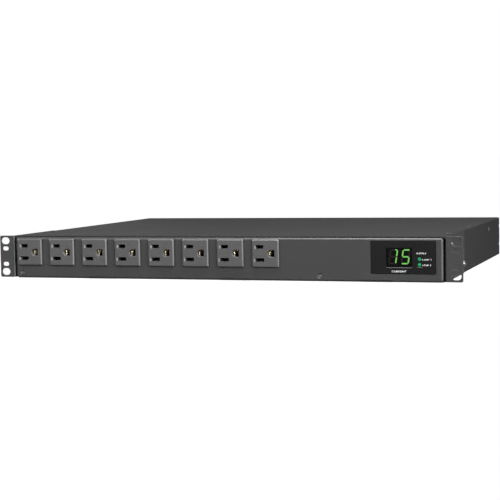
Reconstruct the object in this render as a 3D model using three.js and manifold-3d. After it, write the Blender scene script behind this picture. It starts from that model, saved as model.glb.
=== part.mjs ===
// Rack-mount metered power strip with two inputs, 1U high.
// Units are millimetres. X runs to the right seen from the front, Y runs from the front panel to the
// rear wall, Z is up. Pieces are laid out with Y = 0 on the front panel's face, and the whole group is
// then shifted so that the origin is at the bottom centre of the overall box.
import * as THREE from 'three';
import { mergeVertices } from 'three/addons/utils/BufferGeometryUtils.js';
import Module from 'manifold-3d';

// ---------------------------------------------------------------- driving dimensions
const GAP = 0.35;            // clearance between neighbouring pieces
const T = 1.2;               // sheet thickness of tray, cover and front panel
const HALF_W = 222.25;       // half width over the cover's sides
const H = 43.2;              // height over the cover
const DEPTH = 355.6;         // front panel face to rear wall face
const EAR_X = 239.14;        // half width over the rack ears
const EAR_T = 1.6;           // ear sheet thickness
const EAR_Z0 = 0.6, EAR_Z1 = 43.2;
const EAR_FLANGE = 98;       // length of the ear's side flange
const RACK_X = 233.0;        // middle of the obround rack slots; the 465.1 mm rack pitch lies inside them
const RACK_Z = 22.0;         // middle of the rack hole group
const RACK_BIG = 15.875;     // outer rack slots from the middle
const BIG_SLOT = [9.3, 7.1], SMALL_SLOT = [6.9, 4.1];
const RACK_SMALL = 7.9375;   // inner rack slots from the middle
const OUTLETS = 8;
const OUTLET_X1 = -204.4;    // middle of the first outlet
const OUTLET_PITCH = 36.157;
const OUTLET_Z = 26.5;
const OUTLET_FACE = 27.2;    // square front rim
const OUTLET_BODY = 25.0;    // square body behind the panel
const OUTLET_Y = -2.4;       // face of the outlets, proud of the panel
const SLOT_DX = -5.8;        // blade slots from the outlet's middle
const GROUND_DX = 6.1;       // ground hole from the outlet's middle
const BLADE_DZ = 6.35;       // half of the 12.7 mm blade distance
const HOT_SLOT = [7.8, 3.2], NEUTRAL_SLOT = [9.4, 3.2];
const GROUND_R = 3.3, GROUND_FLAT = 3.0;   // arch radius and flat side of the ground hole, from the pin's middle
const SIDE_SETBACK = 6.0;    // front edge of the cover's sides behind the panel's face
const DIMPLES = [-177.1, -13.9, 75.0, 184.1];   // pressed marks along the cover's front edge
const NOTCH_X = [-124.7, 16.5, 156.8];
const NOTCH_HALF = 15.2;
const FRONT_SCREWS = [['front_screw_left', -213.8, 5.35], ['front_screw_mid', 102.3, 5.35]];
const TOP_SCREW_X = 216.3;
const TOP_SCREW_Y = [50, 171.6];
const SIDE_SCREW = [274.75, 33.84];
const EAR_SCREWS = [[24, 33], [90, 10.5]];
const WIN = { x0: 152.3, x1: 213.9, z0: 7.9, z1: 38.7 };
const DIGITS = { x0: 167.1, x1: 191.4, z0: 14.7, z1: 32.1 };
const LEDS = [['led_primary', 198.3, 21.9], ['led_secondary', 198.3, 16.7]];
const INLETS = [['primary', 150], ['secondary', 90]];
const INLET_Z = 21.6;
const BREAKER_X = 186, BREAKER_Z = 22;
const BUTTON_END = 360.6;    // end of the reset button when it is set
const Y_SHIFT = -(OUTLET_Y + BUTTON_END) / 2;
const BOARD = { x0: 30, x1: 206, y0: 228, y1: 350, z0: 6.0, z1: 7.6 };
const POSTS = [[36, 234], [200, 234], [36, 344], [200, 344]];
const RELAYS = [['primary', 130, 262], ['secondary', 66, 262]];

// ---------------------------------------------------------------- geometry helpers
const wasm = await Module();
wasm.setup();

function tidy(geo) {
  const g = geo.clone();
  for (const k of Object.keys(g.attributes)) if (k !== 'position') g.deleteAttribute(k);
  g.clearGroups();
  const m = mergeVertices(g, 1e-4);
  const src = m.index.array, p = m.attributes.position.array, keep = [];
  let vol = 0;
  for (let i = 0; i < src.length; i += 3) {
    const [a, b, c] = [src[i], src[i + 1], src[i + 2]];
    if (a === b || b === c || c === a) continue;
    keep.push(a, b, c);
    const A = [p[3 * a], p[3 * a + 1], p[3 * a + 2]];
    const B = [p[3 * b], p[3 * b + 1], p[3 * b + 2]];
    const C = [p[3 * c], p[3 * c + 1], p[3 * c + 2]];
    vol += A[0] * (B[1] * C[2] - B[2] * C[1]) - A[1] * (B[0] * C[2] - B[2] * C[0]) + A[2] * (B[0] * C[1] - B[1] * C[0]);
  }
  if (vol < 0) for (let i = 0; i < keep.length; i += 3) [keep[i + 1], keep[i + 2]] = [keep[i + 2], keep[i + 1]];
  m.setIndex(keep);
  return m;
}

function solid(geo) {
  const m = tidy(geo);
  return new wasm.Manifold(new wasm.Mesh({
    numProp: 3,
    vertProperties: new Float32Array(m.attributes.position.array),
    triVerts: new Uint32Array(m.index.array),
  }));
}

function toGeometry(man) {
  const m = man.getMesh();
  const g = new THREE.BufferGeometry();
  g.setAttribute('position', new THREE.BufferAttribute(new Float32Array(m.vertProperties), 3));
  g.setIndex(new THREE.BufferAttribute(new Uint32Array(m.triVerts), 1));
  return g;
}

const join = (...list) => list.map((g) => (g.isBufferGeometry ? solid(g) : g)).reduce((a, b) => a.add(b));
const cut = (base, ...list) => [base, ...list].map((g) => (g.isBufferGeometry ? solid(g) : g)).reduce((a, b) => a.subtract(b));

const box = (x0, x1, y0, y1, z0, z1) =>
  new THREE.BoxGeometry(x1 - x0, y1 - y0, z1 - z0).translate((x0 + x1) / 2, (y0 + y1) / 2, (z0 + z1) / 2);

// Shapes drawn in (x, y), (x, z) or (y, z) and run along the third axis.
const opts = (depth, seg) => ({ depth, bevelEnabled: false, curveSegments: seg });
const alongZ = (shape, z0, z1, seg = 4) => new THREE.ExtrudeGeometry(shape, opts(z1 - z0, seg)).translate(0, 0, z0);
const alongY = (shape, y0, y1, seg = 4) =>
  new THREE.ExtrudeGeometry(shape, opts(y1 - y0, seg)).rotateX(Math.PI / 2).translate(0, y1, 0);
const AXES_X = new THREE.Matrix4().makeBasis(new THREE.Vector3(0, 1, 0), new THREE.Vector3(0, 0, 1), new THREE.Vector3(1, 0, 0));
const alongX = (shape, x0, x1, seg = 4) =>
  new THREE.ExtrudeGeometry(shape, opts(x1 - x0, seg)).applyMatrix4(AXES_X).translate(x0, 0, 0);

const poly = (pts) => new THREE.Shape(pts.map(([a, b]) => new THREE.Vector2(a, b)));
function roundRect(x0, x1, y0, y1, r) {
  // r is one radius, or four for the corners (x0,y0), (x1,y0), (x1,y1), (x0,y1)
  const [a, b, c, d] = Array.isArray(r) ? r : [r, r, r, r];
  const s = new THREE.Shape();
  s.moveTo(x0 + a, y0);
  s.lineTo(x1 - b, y0);
  if (b) s.absarc(x1 - b, y0 + b, b, -Math.PI / 2, 0, false);
  s.lineTo(x1, y1 - c);
  if (c) s.absarc(x1 - c, y1 - c, c, 0, Math.PI / 2, false);
  s.lineTo(x0 + d, y1);
  if (d) s.absarc(x0 + d, y1 - d, d, Math.PI / 2, Math.PI, false);
  s.lineTo(x0, y0 + a);
  if (a) s.absarc(x0 + a, y0 + a, a, Math.PI, Math.PI * 1.5, false);
  return s;
}
// A turned piece: profile of [radius, height], standing at pos with its height along dir.
function turned(profile, pos, dir, seg = 12) {
  const g = new THREE.LatheGeometry(profile.map(([r, h]) => new THREE.Vector2(r, h)), seg);
  const q = new THREE.Quaternion().setFromUnitVectors(new THREE.Vector3(0, 1, 0), new THREE.Vector3(...dir).normalize());
  return g.applyQuaternion(q).translate(...pos);
}
const rod = (r, pos, dir, len, seg = 16) => turned([[0, 0], [r, 0], [r, len], [0, len]], pos, dir, seg);
const cone = (r0, r1, pos, dir, len, seg = 16) => turned([[0, 0], [r0, 0], [r1, len], [0, len]], pos, dir, seg);

// A block whose rectangular section changes along Y: rows of [y, x0, x1, z0, z1].
function loft(rows) {
  const v = [], idx = [];
  for (const [y, x0, x1, z0, z1] of rows) v.push(x0, y, z0, x1, y, z0, x1, y, z1, x0, y, z1);
  const n = rows.length;
  for (let i = 0; i < n - 1; i++) {
    for (let k = 0; k < 4; k++) {
      const a = 4 * i + k, b = 4 * i + ((k + 1) % 4), c = b + 4, d = a + 4;
      idx.push(a, b, c, a, c, d);
    }
  }
  idx.push(0, 2, 1, 0, 3, 2);
  const e = 4 * (n - 1);
  idx.push(e, e + 1, e + 2, e, e + 2, e + 3);
  const g = new THREE.BufferGeometry();
  g.setAttribute('position', new THREE.BufferAttribute(new Float32Array(v), 3));
  g.setIndex(idx);
  return g;
}

// ---------------------------------------------------------------- scene graph
const part = new THREE.Group();
const COLORS = {
  cover: [0x3c3d3e, 0.55, 0.35], panel: [0x3a3a3d, 0.55, 0.3], ear: [0x3f4041, 0.6, 0.3], tray: [0x2c2d2e, 0.6, 0.3],
  screw: [0x232425, 0.4, 0.8], outlet: [0x4c4c4c, 0.5, 0.0], brass: [0xb8903c, 0.35, 1.0], window: [0x111213, 0.15, 0.0],
  board: [0x1d4a2c, 0.55, 0.0], digits: [0x080808, 0.3, 0.0], led: [0x1fbf78, 0.3, 0.0], inlet: [0x17181a, 0.5, 0.0],
  nickel: [0xb9bab8, 0.3, 1.0], breaker: [0x1a1b1c, 0.5, 0.0], button: [0xd8d8d4, 0.45, 0.0], steel: [0x9a9c9e, 0.4, 0.9],
  copper: [0xa8562c, 0.4, 0.6], lamination: [0x55585c, 0.5, 0.6], can: [0x20242c, 0.4, 0.2], ferrite: [0x26282a, 0.7, 0.0],
  lead_black: [0x151515, 0.6, 0.0], lead_white: [0xd9d9d4, 0.6, 0.0], lead_green: [0x1e7a3c, 0.6, 0.0], ribbon: [0x9aa0a4, 0.6, 0.0],
};
function add(name, shape, finish) {
  const [color, roughness, metalness] = COLORS[finish];
  const geo = tidy(shape.isBufferGeometry ? shape : toGeometry(shape));
  const mesh = new THREE.Mesh(geo, new THREE.MeshStandardMaterial({ color, roughness, metalness }));
  mesh.name = name;
  part.add(mesh);
  return mesh;
}

// ---------------------------------------------------------------- base tray
// Bottom plate, rear wall with its folded lip, and full side walls, each with one flange that takes the cover's screws.
{
  const W = 220.7;
  const pieces = [box(-W, W, 3.4, DEPTH, 0, T)];
  for (const c of NOTCH_X) pieces.push(box(c - NOTCH_HALF + GAP, c + NOTCH_HALF - GAP, 0.5, 4.0, 0, 1.0));
  pieces.push(box(-W, W, DEPTH - T, DEPTH, 0, 41.5));
  pieces.push(box(-W, W, DEPTH - 13, DEPTH, 40.3, 41.5));
  for (const s of [-1, 1]) {
    const side = (y0, y1, z1) => (s < 0 ? box(-W, -W + T, y0, y1, 0, z1) : box(W - T, W, y0, y1, 0, z1));
    pieces.push(side(12, DEPTH, 41.5));
    const [y0, y1] = [TOP_SCREW_Y[0] - 12, TOP_SCREW_Y[1] + 12];
    pieces.push(s < 0 ? box(-W, -W + 12.7, y0, y1, 40.3, 41.5) : box(W - 12.7, W, y0, y1, 40.3, 41.5));
  }
  for (const [, x, z] of FRONT_SCREWS) pieces.push(box(Math.max(x - 9, -219), x + 9, 3.4, 4.6, 0, z + 4.6));
  for (const [x, y] of POSTS) pieces.push(rod(3, [x, y, 1.0], [0, 0, 1], BOARD.z0 - GAP - 1.0, 12));
  const holes = [];
  for (const s of [-1, 1]) {
    for (const y of TOP_SCREW_Y) holes.push(rod(1.8, [s * TOP_SCREW_X, y, 39], [0, 0, 1], 4, 12));
    holes.push(rod(1.8, [s * 218, SIDE_SCREW[0], SIDE_SCREW[1]], [s, 0, 0], 4, 12));
    for (const [y, z] of EAR_SCREWS) holes.push(rod(2.3, [s * 218, y, z], [s, 0, 0], 4, 12));
  }
  for (const [, x, z] of FRONT_SCREWS) holes.push(rod(1.8, [x, 2, z], [0, 1, 0], 4, 12));
  for (const [, x] of INLETS) holes.push(box(x - 13.85, x + 13.85, 350, 358, INLET_Z - 10.35, INLET_Z + 10.35));
  holes.push(rod(5.6, [BREAKER_X, 350, BREAKER_Z], [0, 1, 0], 8, 20));
  add('base_tray', cut(join(...pieces), ...holes), 'tray');
}

// ---------------------------------------------------------------- top cover
// One U-shaped sheet: the top and both sides, bent with a 1.6 mm outer radius.
{
  const r = 1.6, w = HALF_W, i = HALF_W - T;
  const s = new THREE.Shape();
  s.moveTo(-w, 0.3);
  s.lineTo(-i, 0.3);
  s.lineTo(-i, H - T);
  s.lineTo(i, H - T);
  s.lineTo(i, 0.3);
  s.lineTo(w, 0.3);
  s.lineTo(w, H - r);
  s.absarc(w - r, H - r, r, 0, Math.PI / 2, false);
  s.lineTo(-w + r, H);
  s.absarc(-w + r, H - r, r, Math.PI / 2, Math.PI, false);
  s.lineTo(-w, 0.3);
  const holes = [];
  for (const sx of [-1, 1]) {
    for (const y of TOP_SCREW_Y) {
      holes.push(cone(3.5, 1.8, [sx * TOP_SCREW_X, y, H + 0.3], [0, 0, -1], 1.9, 16));
    }
    holes.push(cone(3.5, 1.8, [sx * (HALF_W + 0.3), SIDE_SCREW[0], SIDE_SCREW[1]], [-sx, 0, 0], 1.9, 16));
    for (const [y, z] of EAR_SCREWS) holes.push(rod(2.3, [sx * 219, y, z], [sx, 0, 0], 5, 12));
    // two small hook slots in the rear edge of each side
    for (const z of [12.2, 33.2]) {
      holes.push(box(Math.min(sx * 218, sx * 224), Math.max(sx * 218, sx * 224), DEPTH - 2.2, DEPTH + 2, z - 1.7, z + 1.7));
    }
  }
  for (const sx of [-1, 1]) holes.push(box(Math.min(sx * 220.6, sx * 224), Math.max(sx * 220.6, sx * 224), 0, SIDE_SETBACK, -1, 41.0));
  for (const x of DIMPLES) holes.push(cone(1.6, 0.7, [x, 4.3, H + 0.1], [0, 0, -1], 0.75, 12));
  add('top_cover', cut(alongY(s, 1.8, DEPTH, 3), ...holes), 'cover');
}

// ---------------------------------------------------------------- front panel
// A shallow pan: the face with rounded bends into short returns on all four sides.
{
  const W = 220.8, Z1 = 41.6, R = 2.2;
  const outer = (o) => {
    const sideView = roundRect(0 + o, 7, 0 + o, Z1 - o, [1.6 - o * 0.9, 0, 0, R - o]);   // in (y, z)
    const topView = roundRect(-W + o, W - o, 0 + o, 7, [R - o, R - o, 0, 0]);             // in (x, y)
    const frontView = roundRect(-W + o, W - o, 0 + o, Z1 - o, [2.4 - o, 2.4 - o, 0.6, 0.6]);  // in (x, z)
    return solid(alongX(sideView, -W - 1, W + 1, 4))
      .intersect(solid(alongZ(topView, -1, Z1 + 1, 4)))
      .intersect(solid(alongY(frontView, -1, 8, 3)));
  };
  const hollow = outer(T).add(solid(box(-W + T, W - T, 5, 9, T, Z1 - T)));
  let pan = outer(0).subtract(hollow).subtract(solid(box(-W - 1, W + 1, 3.0, 9, -1, 1.55)));
  const bosses = [];
  for (const x of [148.9, 217.2]) for (const z of [9, 36.6]) bosses.push(rod(1.8, [x, 1.0, z], [0, 1, 0], 7.7, 12));
  pan = join(pan, ...bosses);
  const holes = [];
  for (let i = 0; i < OUTLETS; i++) {
    const c = OUTLET_X1 + i * OUTLET_PITCH, h = OUTLET_BODY / 2 + GAP;
    holes.push(box(c - h, c + h, -1, 3, OUTLET_Z - h, OUTLET_Z + h));
  }
  holes.push(box(WIN.x0 - GAP, WIN.x1 + GAP, -1, 3, WIN.z0 - GAP, WIN.z1 + GAP));
  for (const c of NOTCH_X) holes.push(box(c - NOTCH_HALF, c + NOTCH_HALF, -1, 4, -1, 1.35));
  for (const [, x, z] of FRONT_SCREWS) holes.push(cone(2.84, 1.55, [x, -0.2, z], [0, 1, 0], 1.46, 16));
  add('front_panel', cut(pan, ...holes), 'panel');
}

// ---------------------------------------------------------------- rack ears
for (const [side, s] of [['left', -1], ['right', 1]]) {
  const xi = HALF_W + 0.4, y0 = 0.2, y1 = y0 + EAR_T, r = 1.8;
  // L section in (x, y), drawn for the right side and mirrored for the left
  const sec = new THREE.Shape();
  const p = (x, y) => [s * x, y];
  const arc = [];
  for (let k = 0; k <= 4; k++) {
    const a = Math.PI + (k / 4) * (Math.PI / 2);
    arc.push(p(xi + r + r * Math.cos(a), y0 + r + r * Math.sin(a)));
  }
  const pts = [...arc, p(EAR_X, y0), p(EAR_X, y1), p(xi + EAR_T, y1), p(xi + EAR_T, EAR_FLANGE), p(xi, EAR_FLANGE)];
  if (s < 0) pts.reverse();
  sec.setFromPoints(pts.map(([x, y]) => new THREE.Vector2(x, y)));
  const body = solid(alongZ(sec, EAR_Z0, EAR_Z1, 4));
  // rounded outer corners of the plate and rounded rear corners of the flange
  const [fx0, fx1] = s > 0 ? [xi - 1, EAR_X] : [-EAR_X, -xi + 1];
  const face = s > 0 ? [0, 1.6, 1.6, 0] : [1.6, 0, 0, 1.6];
  const trimmed = body
    .intersect(solid(alongY(roundRect(fx0, fx1, EAR_Z0, EAR_Z1, face), -1, EAR_FLANGE + 1, 4)))
    .intersect(solid(alongX(roundRect(-1, EAR_FLANGE, EAR_Z0, EAR_Z1, [0, 6, 6, 0]), -EAR_X - 1, EAR_X + 1, 5)));
  const holes = [];
  const slot = (z, w, h) => {
    const e = h / 2, d = w / 2 - e, sh = new THREE.Shape();
    sh.absarc(s * RACK_X + d, z, e, -Math.PI / 2, Math.PI / 2, false);
    sh.absarc(s * RACK_X - d, z, e, Math.PI / 2, Math.PI * 1.5, false);
    holes.push(alongY(sh, -1, 4, 8));
  };
  for (const k of [-1, 1]) {
    slot(RACK_Z + k * RACK_BIG, ...BIG_SLOT);
    slot(RACK_Z + k * RACK_SMALL, ...SMALL_SLOT);
  }
  for (const [y, z] of EAR_SCREWS) holes.push(rod(2.3, [s * 220, y, z], [s, 0, 0], 6, 12));
  add(`ear_${side}`, cut(trimmed, ...holes), 'ear');
  EAR_SCREWS.forEach(([y, z], k) => {
    const head = [[0, 0], [2.2, 0], [3.3, 0.7], [3.5, 1.6], [3.5, 2.1], [1.9, 2.1], [1.9, 9.5], [0, 9.5]];
    add(`ear_screw_${side}_${k + 1}`, turned(head, [s * (xi + EAR_T + 0.3 + 2.1), y, z], [-s, 0, 0], 12), 'screw');
  });
}

// ---------------------------------------------------------------- flush screws
const FLUSH = [[0, 0], [2.75, 0], [2.75, 0.25], [1.45, 1.65], [1.45, 7.5], [0, 7.5]];
for (const [name, x, z] of FRONT_SCREWS) {
  add(name, turned([[0, 0], [1.75, 0], [1.25, 0.6], [1.25, 6.9], [0, 6.9]], [x, 0.62, z], [0, 1, 0], 12), 'screw');
}
TOP_SCREW_Y.forEach((y, k) => {
  add(`cover_screw_left_${k + 1}`, turned(FLUSH, [-TOP_SCREW_X, y, H - 0.15], [0, 0, -1], 12), 'screw');
  add(`cover_screw_right_${k + 1}`, turned(FLUSH, [TOP_SCREW_X, y, H - 0.15], [0, 0, -1], 12), 'screw');
});
add('side_screw_left', turned(FLUSH, [-(HALF_W - 0.15), ...SIDE_SCREW], [1, 0, 0], 12), 'screw');
add('side_screw_right', turned(FLUSH, [HALF_W - 0.15, ...SIDE_SCREW], [-1, 0, 0], 12), 'screw');

// ---------------------------------------------------------------- outlets
const outletX = (i) => OUTLET_X1 + i * OUTLET_PITCH;
for (let i = 0; i < OUTLETS; i++) {
  const c = outletX(i), f = OUTLET_FACE / 2, b = OUTLET_BODY / 2, sx = c + SLOT_DX, gx = c + GROUND_DX, z = OUTLET_Z;
  const rim = loft([
    [OUTLET_Y, c - f + 0.8, c + f - 0.8, z - f + 0.8, z + f - 0.8],
    [OUTLET_Y + 0.7, c - f, c + f, z - f, z + f],
    [-0.3, c - f, c + f, z - f, z + f],
  ]);
  const body = box(c - b, c + b, -0.6, 18, z - b, z + b);
  const latch = (s) => alongZ(poly(s > 0
    ? [[c + b - 0.5, 1.6], [c + b + 0.9, 1.6], [c + b - 0.5, 6.5]]
    : [[c - b + 0.5, 1.6], [c - b + 0.5, 6.5], [c - b - 0.9, 1.6]]), z - 5, z + 5);
  const ground = new THREE.Shape();
  ground.moveTo(gx + GROUND_FLAT, z - GROUND_R);
  ground.lineTo(gx + GROUND_FLAT, z + GROUND_R);
  ground.lineTo(gx, z + GROUND_R);
  ground.absarc(gx, z, GROUND_R, Math.PI / 2, Math.PI * 1.5, false);
  const blade = ([w, h], dz) => box(sx - w / 2, sx + w / 2, -4, 2, z + dz - h / 2, z + dz + h / 2);
  add(`outlet_${i + 1}`, cut(
    join(rim, body, latch(-1), latch(1)),
    blade(HOT_SLOT, BLADE_DZ), blade(NEUTRAL_SLOT, -BLADE_DZ),
    alongY(ground, -4, 2, 6),
    // contact pockets, open behind
    box(sx - 4.6, sx + 4.6, 1.2, 19, z + BLADE_DZ - 2.4, z + BLADE_DZ + 2.4),
    box(sx - 5.2, sx + 5.2, 1.2, 19, z - BLADE_DZ - 2.4, z - BLADE_DZ + 2.4),
    box(gx - 4.3, gx + 4.2, 1.2, 19, z - 3.9, z + 4.2),
  ), 'outlet');
}

// ---------------------------------------------------------------- bus bars
// Each bar is a strip behind the outlets with a pair of sprung contact leaves reaching into every one.
{
  const strip = (z, low = 1.5, high = 1.5) => box(outletX(0) - 11, outletX(7) + 17.5, 19.5, 20.5, z - low, z + high);
  const blades = (z, w) => {
    const out = [];
    for (let i = 0; i < OUTLETS; i++) {
      const sx = outletX(i) + SLOT_DX;
      out.push(box(sx - w, sx + w, 7.0, 19.8, z + 0.95, z + 1.5), box(sx - w, sx + w, 7.0, 19.8, z - 1.5, z - 0.95));
    }
    return out;
  };
  add('hot_bus', join(strip(OUTLET_Z + BLADE_DZ), ...blades(OUTLET_Z + BLADE_DZ, 3.0)), 'brass');
  add('neutral_bus', join(strip(OUTLET_Z - BLADE_DZ), ...blades(OUTLET_Z - BLADE_DZ, 3.4)), 'brass');
  const grounds = [];
  for (let i = 0; i < OUTLETS; i++) {
    const gx = outletX(i) + GROUND_DX;
    for (const x of [gx - 3.5, gx + 2.5]) {
      grounds.push(box(x, x + 0.6, 1.6, 7.0, OUTLET_Z - 3.1, OUTLET_Z + 2.0));    // leaf beside the pin
      grounds.push(box(x, x + 0.6, 5.0, 19.8, OUTLET_Z + 1.9, OUTLET_Z + 3.8));   // its tail, above the pin
    }
  }
  add('ground_bus', join(strip(OUTLET_Z, -2.0, 4.4), ...grounds), 'brass');
}

// ---------------------------------------------------------------- display
{
  const frameHoles = [box(DIGITS.x0 - GAP, DIGITS.x1 + GAP, -1, 4, DIGITS.z0 - GAP, DIGITS.z1 + GAP)];
  for (const [, x, z] of LEDS) frameHoles.push(rod(1.85, [x, -1, z], [0, 1, 0], 5, 16));
  add('display_window', cut(box(WIN.x0, WIN.x1, 0.15, 2.2, WIN.z0, WIN.z1), ...frameHoles), 'window');
  add('digit_module', box(DIGITS.x0, DIGITS.x1, 0.35, 8.6, DIGITS.z0, DIGITS.z1), 'digits');
  for (const [name, x, z] of LEDS) {
    add(name, turned([[0, 0], [0.9, 0.15], [1.35, 0.6], [1.5, 1.2], [1.5, 8.3], [0, 8.3]], [x, 0.3, z], [0, 1, 0], 12), 'led');
  }
  add('display_board', box(146.6, 219.0, 9.0, 10.6, 6.0, 39.6), 'board');
}

// ---------------------------------------------------------------- rear inlets
for (const [name, c] of INLETS) {
  const z = INLET_Z;
  const well = poly([[c - 12.3, z - 8.2], [c + 12.3, z - 8.2], [c + 12.3, z + 3.6], [c + 7.7, z + 8.2], [c - 7.7, z + 8.2], [c - 12.3, z + 3.6]]);
  const holes = [alongY(well, 339, 360)];
  const pins = [['line', 7, -2], ['neutral', -7, -2], ['earth', 0, 2]];
  for (const [, dx, dz] of pins) holes.push(box(c + dx - 1.35, c + dx + 1.35, 334, 341, z + dz - 2.35, z + dz + 2.35));
  add(`inlet_${name}`, cut(
    join(loft([
      [355.9, c - 15, c + 15, z - 11.5, z + 11.5],
      [357.4, c - 15, c + 15, z - 11.5, z + 11.5],
      [358.0, c - 14.4, c + 14.4, z - 10.9, z + 10.9],
    ]), box(c - 13.5, c + 13.5, 336, 356.2, z - 10, z + 10)),
    ...holes,
  ), 'inlet');
  for (const [pin, dx, dz] of pins) {
    const zc = z + dz;
    const outline = poly([[331, 7.95], [333.2, 7.95], [333.2, zc - 2], [355.4, zc - 2], [356, zc - 1.2], [356, zc + 1.2], [355.4, zc + 2], [331, zc + 2]]);
    add(`inlet_${name}_${pin}_pin`, alongX(outline, c + dx - 1, c + dx + 1), 'nickel');
  }
}

// ---------------------------------------------------------------- breaker with push-to-reset button
{
  const c = BREAKER_X, z = BREAKER_Z;
  add('breaker_body', cut(
    join(box(c - 9, c + 9, 322, 354.0, 8.5, 38), rod(5.2, [c, 353.5, z], [0, 1, 0], 5.1, 20)),
    rod(3.95, [c, 345, z], [0, 1, 0], 16, 20),
  ), 'breaker');
  const hex = new THREE.Shape();
  for (let k = 0; k < 6; k++) {
    const a = (k * Math.PI) / 3;
    (k ? hex.lineTo : hex.moveTo).call(hex, c + 8 * Math.cos(a), z + 8 * Math.sin(a));
  }
  add('breaker_nut', cut(alongY(hex, 355.95, 358.3), rod(5.55, [c, 350, z], [0, 1, 0], 12, 20)), 'nickel');
  add('breaker_button', turned([[0, 0], [3.5, 0], [3.5, 12.6], [3.2, 13.3], [2.4, 13.6], [0, 13.6]], [c, BUTTON_END - 13.6, z], [0, 1, 0], 20), 'button');
}

// ---------------------------------------------------------------- main board and what stands on it
add('main_board', box(BOARD.x0, BOARD.x1, BOARD.y0, BOARD.y1, BOARD.z0, BOARD.z1), 'board');
for (const [name, x, y] of RELAYS) {
  const b = BOARD.z1 + 0.3;
  add(`relay_${name}_frame`, join(
    box(x, x + 46, y, y + 26, b, 13),
    box(x + 1, x + 3, y + 2, y + 24, 12.5, 33),
    box(x + 42, x + 44, y + 8, y + 18, 12.5, 29.0),
    box(x + 40, x + 46, y + 9, y + 17, 28.6, 29.7),
  ), 'inlet');
  add(`relay_${name}_coil`, turned(
    [[0, 0], [10, 0], [10, 1.6], [9, 1.6], [9, 15.8], [10, 15.8], [10, 17.3], [3.6, 17.3], [3.6, 18.5], [0, 18.5]],
    [x + 17, y + 13, 13.3], [0, 0, 1], 16), 'copper');
  add(`relay_${name}_armature`, join(
    box(x + 0.6, x + 36, y + 3, y + 23, 33.4, 35.0),
    box(x + 35, x + 46, y + 9, y + 17, 33.7, 34.5),
    box(x + 40.5, x + 45.5, y + 10.5, y + 15.5, 33.0, 34.0),
  ), 'steel');
}
add('transformer', join(box(36, 62, 300, 326, 8.0, 36), box(41, 57, 296.5, 329.5, 13, 31)), 'lamination');
add('capacitor', turned([[0, 0], [7.4, 0], [8, 0.6], [8, 27.4], [7.4, 28], [0, 28]], [119, 314, 7.95], [0, 0, 1], 16), 'can');
{
  const x = 118, z = 21;
  add('current_sensor', cut(
    join(rod(10.5, [x, 236, z], [0, 1, 0], 8, 20), box(x - 6, x + 6, 236, 244, 7.95, 14)),
    rod(4.5, [x, 235, z], [0, 1, 0], 10, 16),
  ), 'ferrite');
}

// ---------------------------------------------------------------- leads held inside from end to end
function lead(name, points, r, finish, steps) {
  const curve = new THREE.CatmullRomCurve3(points.map((p) => new THREE.Vector3(...p)), false, 'centripetal');
  const s = new THREE.Shape();
  for (let k = 0; k < 8; k++) {
    const a = (k * Math.PI) / 4;
    (k ? s.lineTo : s.moveTo).call(s, r * Math.cos(a), r * Math.sin(a));
  }
  add(name, new THREE.ExtrudeGeometry(s, { steps, bevelEnabled: false, extrudePath: curve }), finish);
}
const endX = outletX(7) + 14.5;
const run = (x, zEnd) => [[x, 226, 11], [x, 214, 4], [x, 200, 3.2], [x, 130, 3.2], [x, 75, 3.2], [x - 1.5, 62, 4.2],
  [(x + endX) / 2, 45, (zEnd + 3) / 2], [endX + 1.5, 32, zEnd - 1.2], [endX, 26, zEnd], [endX, 20.85, zEnd]];
lead('hot_lead', [[118, 256, 8.1], [118, 255, 13], [118, 250, 19.5], [118, 244, 21], [118, 236, 21], [116, 230, 17], ...run(110, OUTLET_Z + BLADE_DZ).slice(1)], 1.4, 'lead_black', 34);
lead('ground_lead', [[101, 240, 8.1], [101, 239, 11], [101, 233, 13.2], ...run(101, OUTLET_Z)], 1.4, 'lead_green', 30);
lead('neutral_lead', [[92, 240, 8.1], [92, 239, 11], [92, 233, 13.2], ...run(92, OUTLET_Z - BLADE_DZ)], 1.4, 'lead_white', 30);
{
  // flat ribbon, drawn in (y, z) and run along X
  const mid = [[233, 8.6], [222, 8.6], [213, 3.0], [205, 2.3], [34, 2.3], [24, 4.5], [18, 10], [15, 18], [11, 20.5]];
  const h = 0.45, up = [], down = [];
  mid.forEach(([y, z], i) => {
    const a = mid[Math.max(i - 1, 0)], b = mid[Math.min(i + 1, mid.length - 1)];
    const l = Math.hypot(b[0] - a[0], b[1] - a[1]), nx = -(b[1] - a[1]) / l, nz = (b[0] - a[0]) / l;
    up.push([y + nx * h, z + nz * h]);
    down.unshift([y - nx * h, z - nz * h]);
  });
  add('display_ribbon', alongX(poly([...up, ...down]), 170, 184), 'ribbon');
}

part.position.set(0, Y_SHIFT, 0);
export default part;
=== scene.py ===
import math
import bpy
import bmesh
from mathutils import Matrix, Vector


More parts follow.
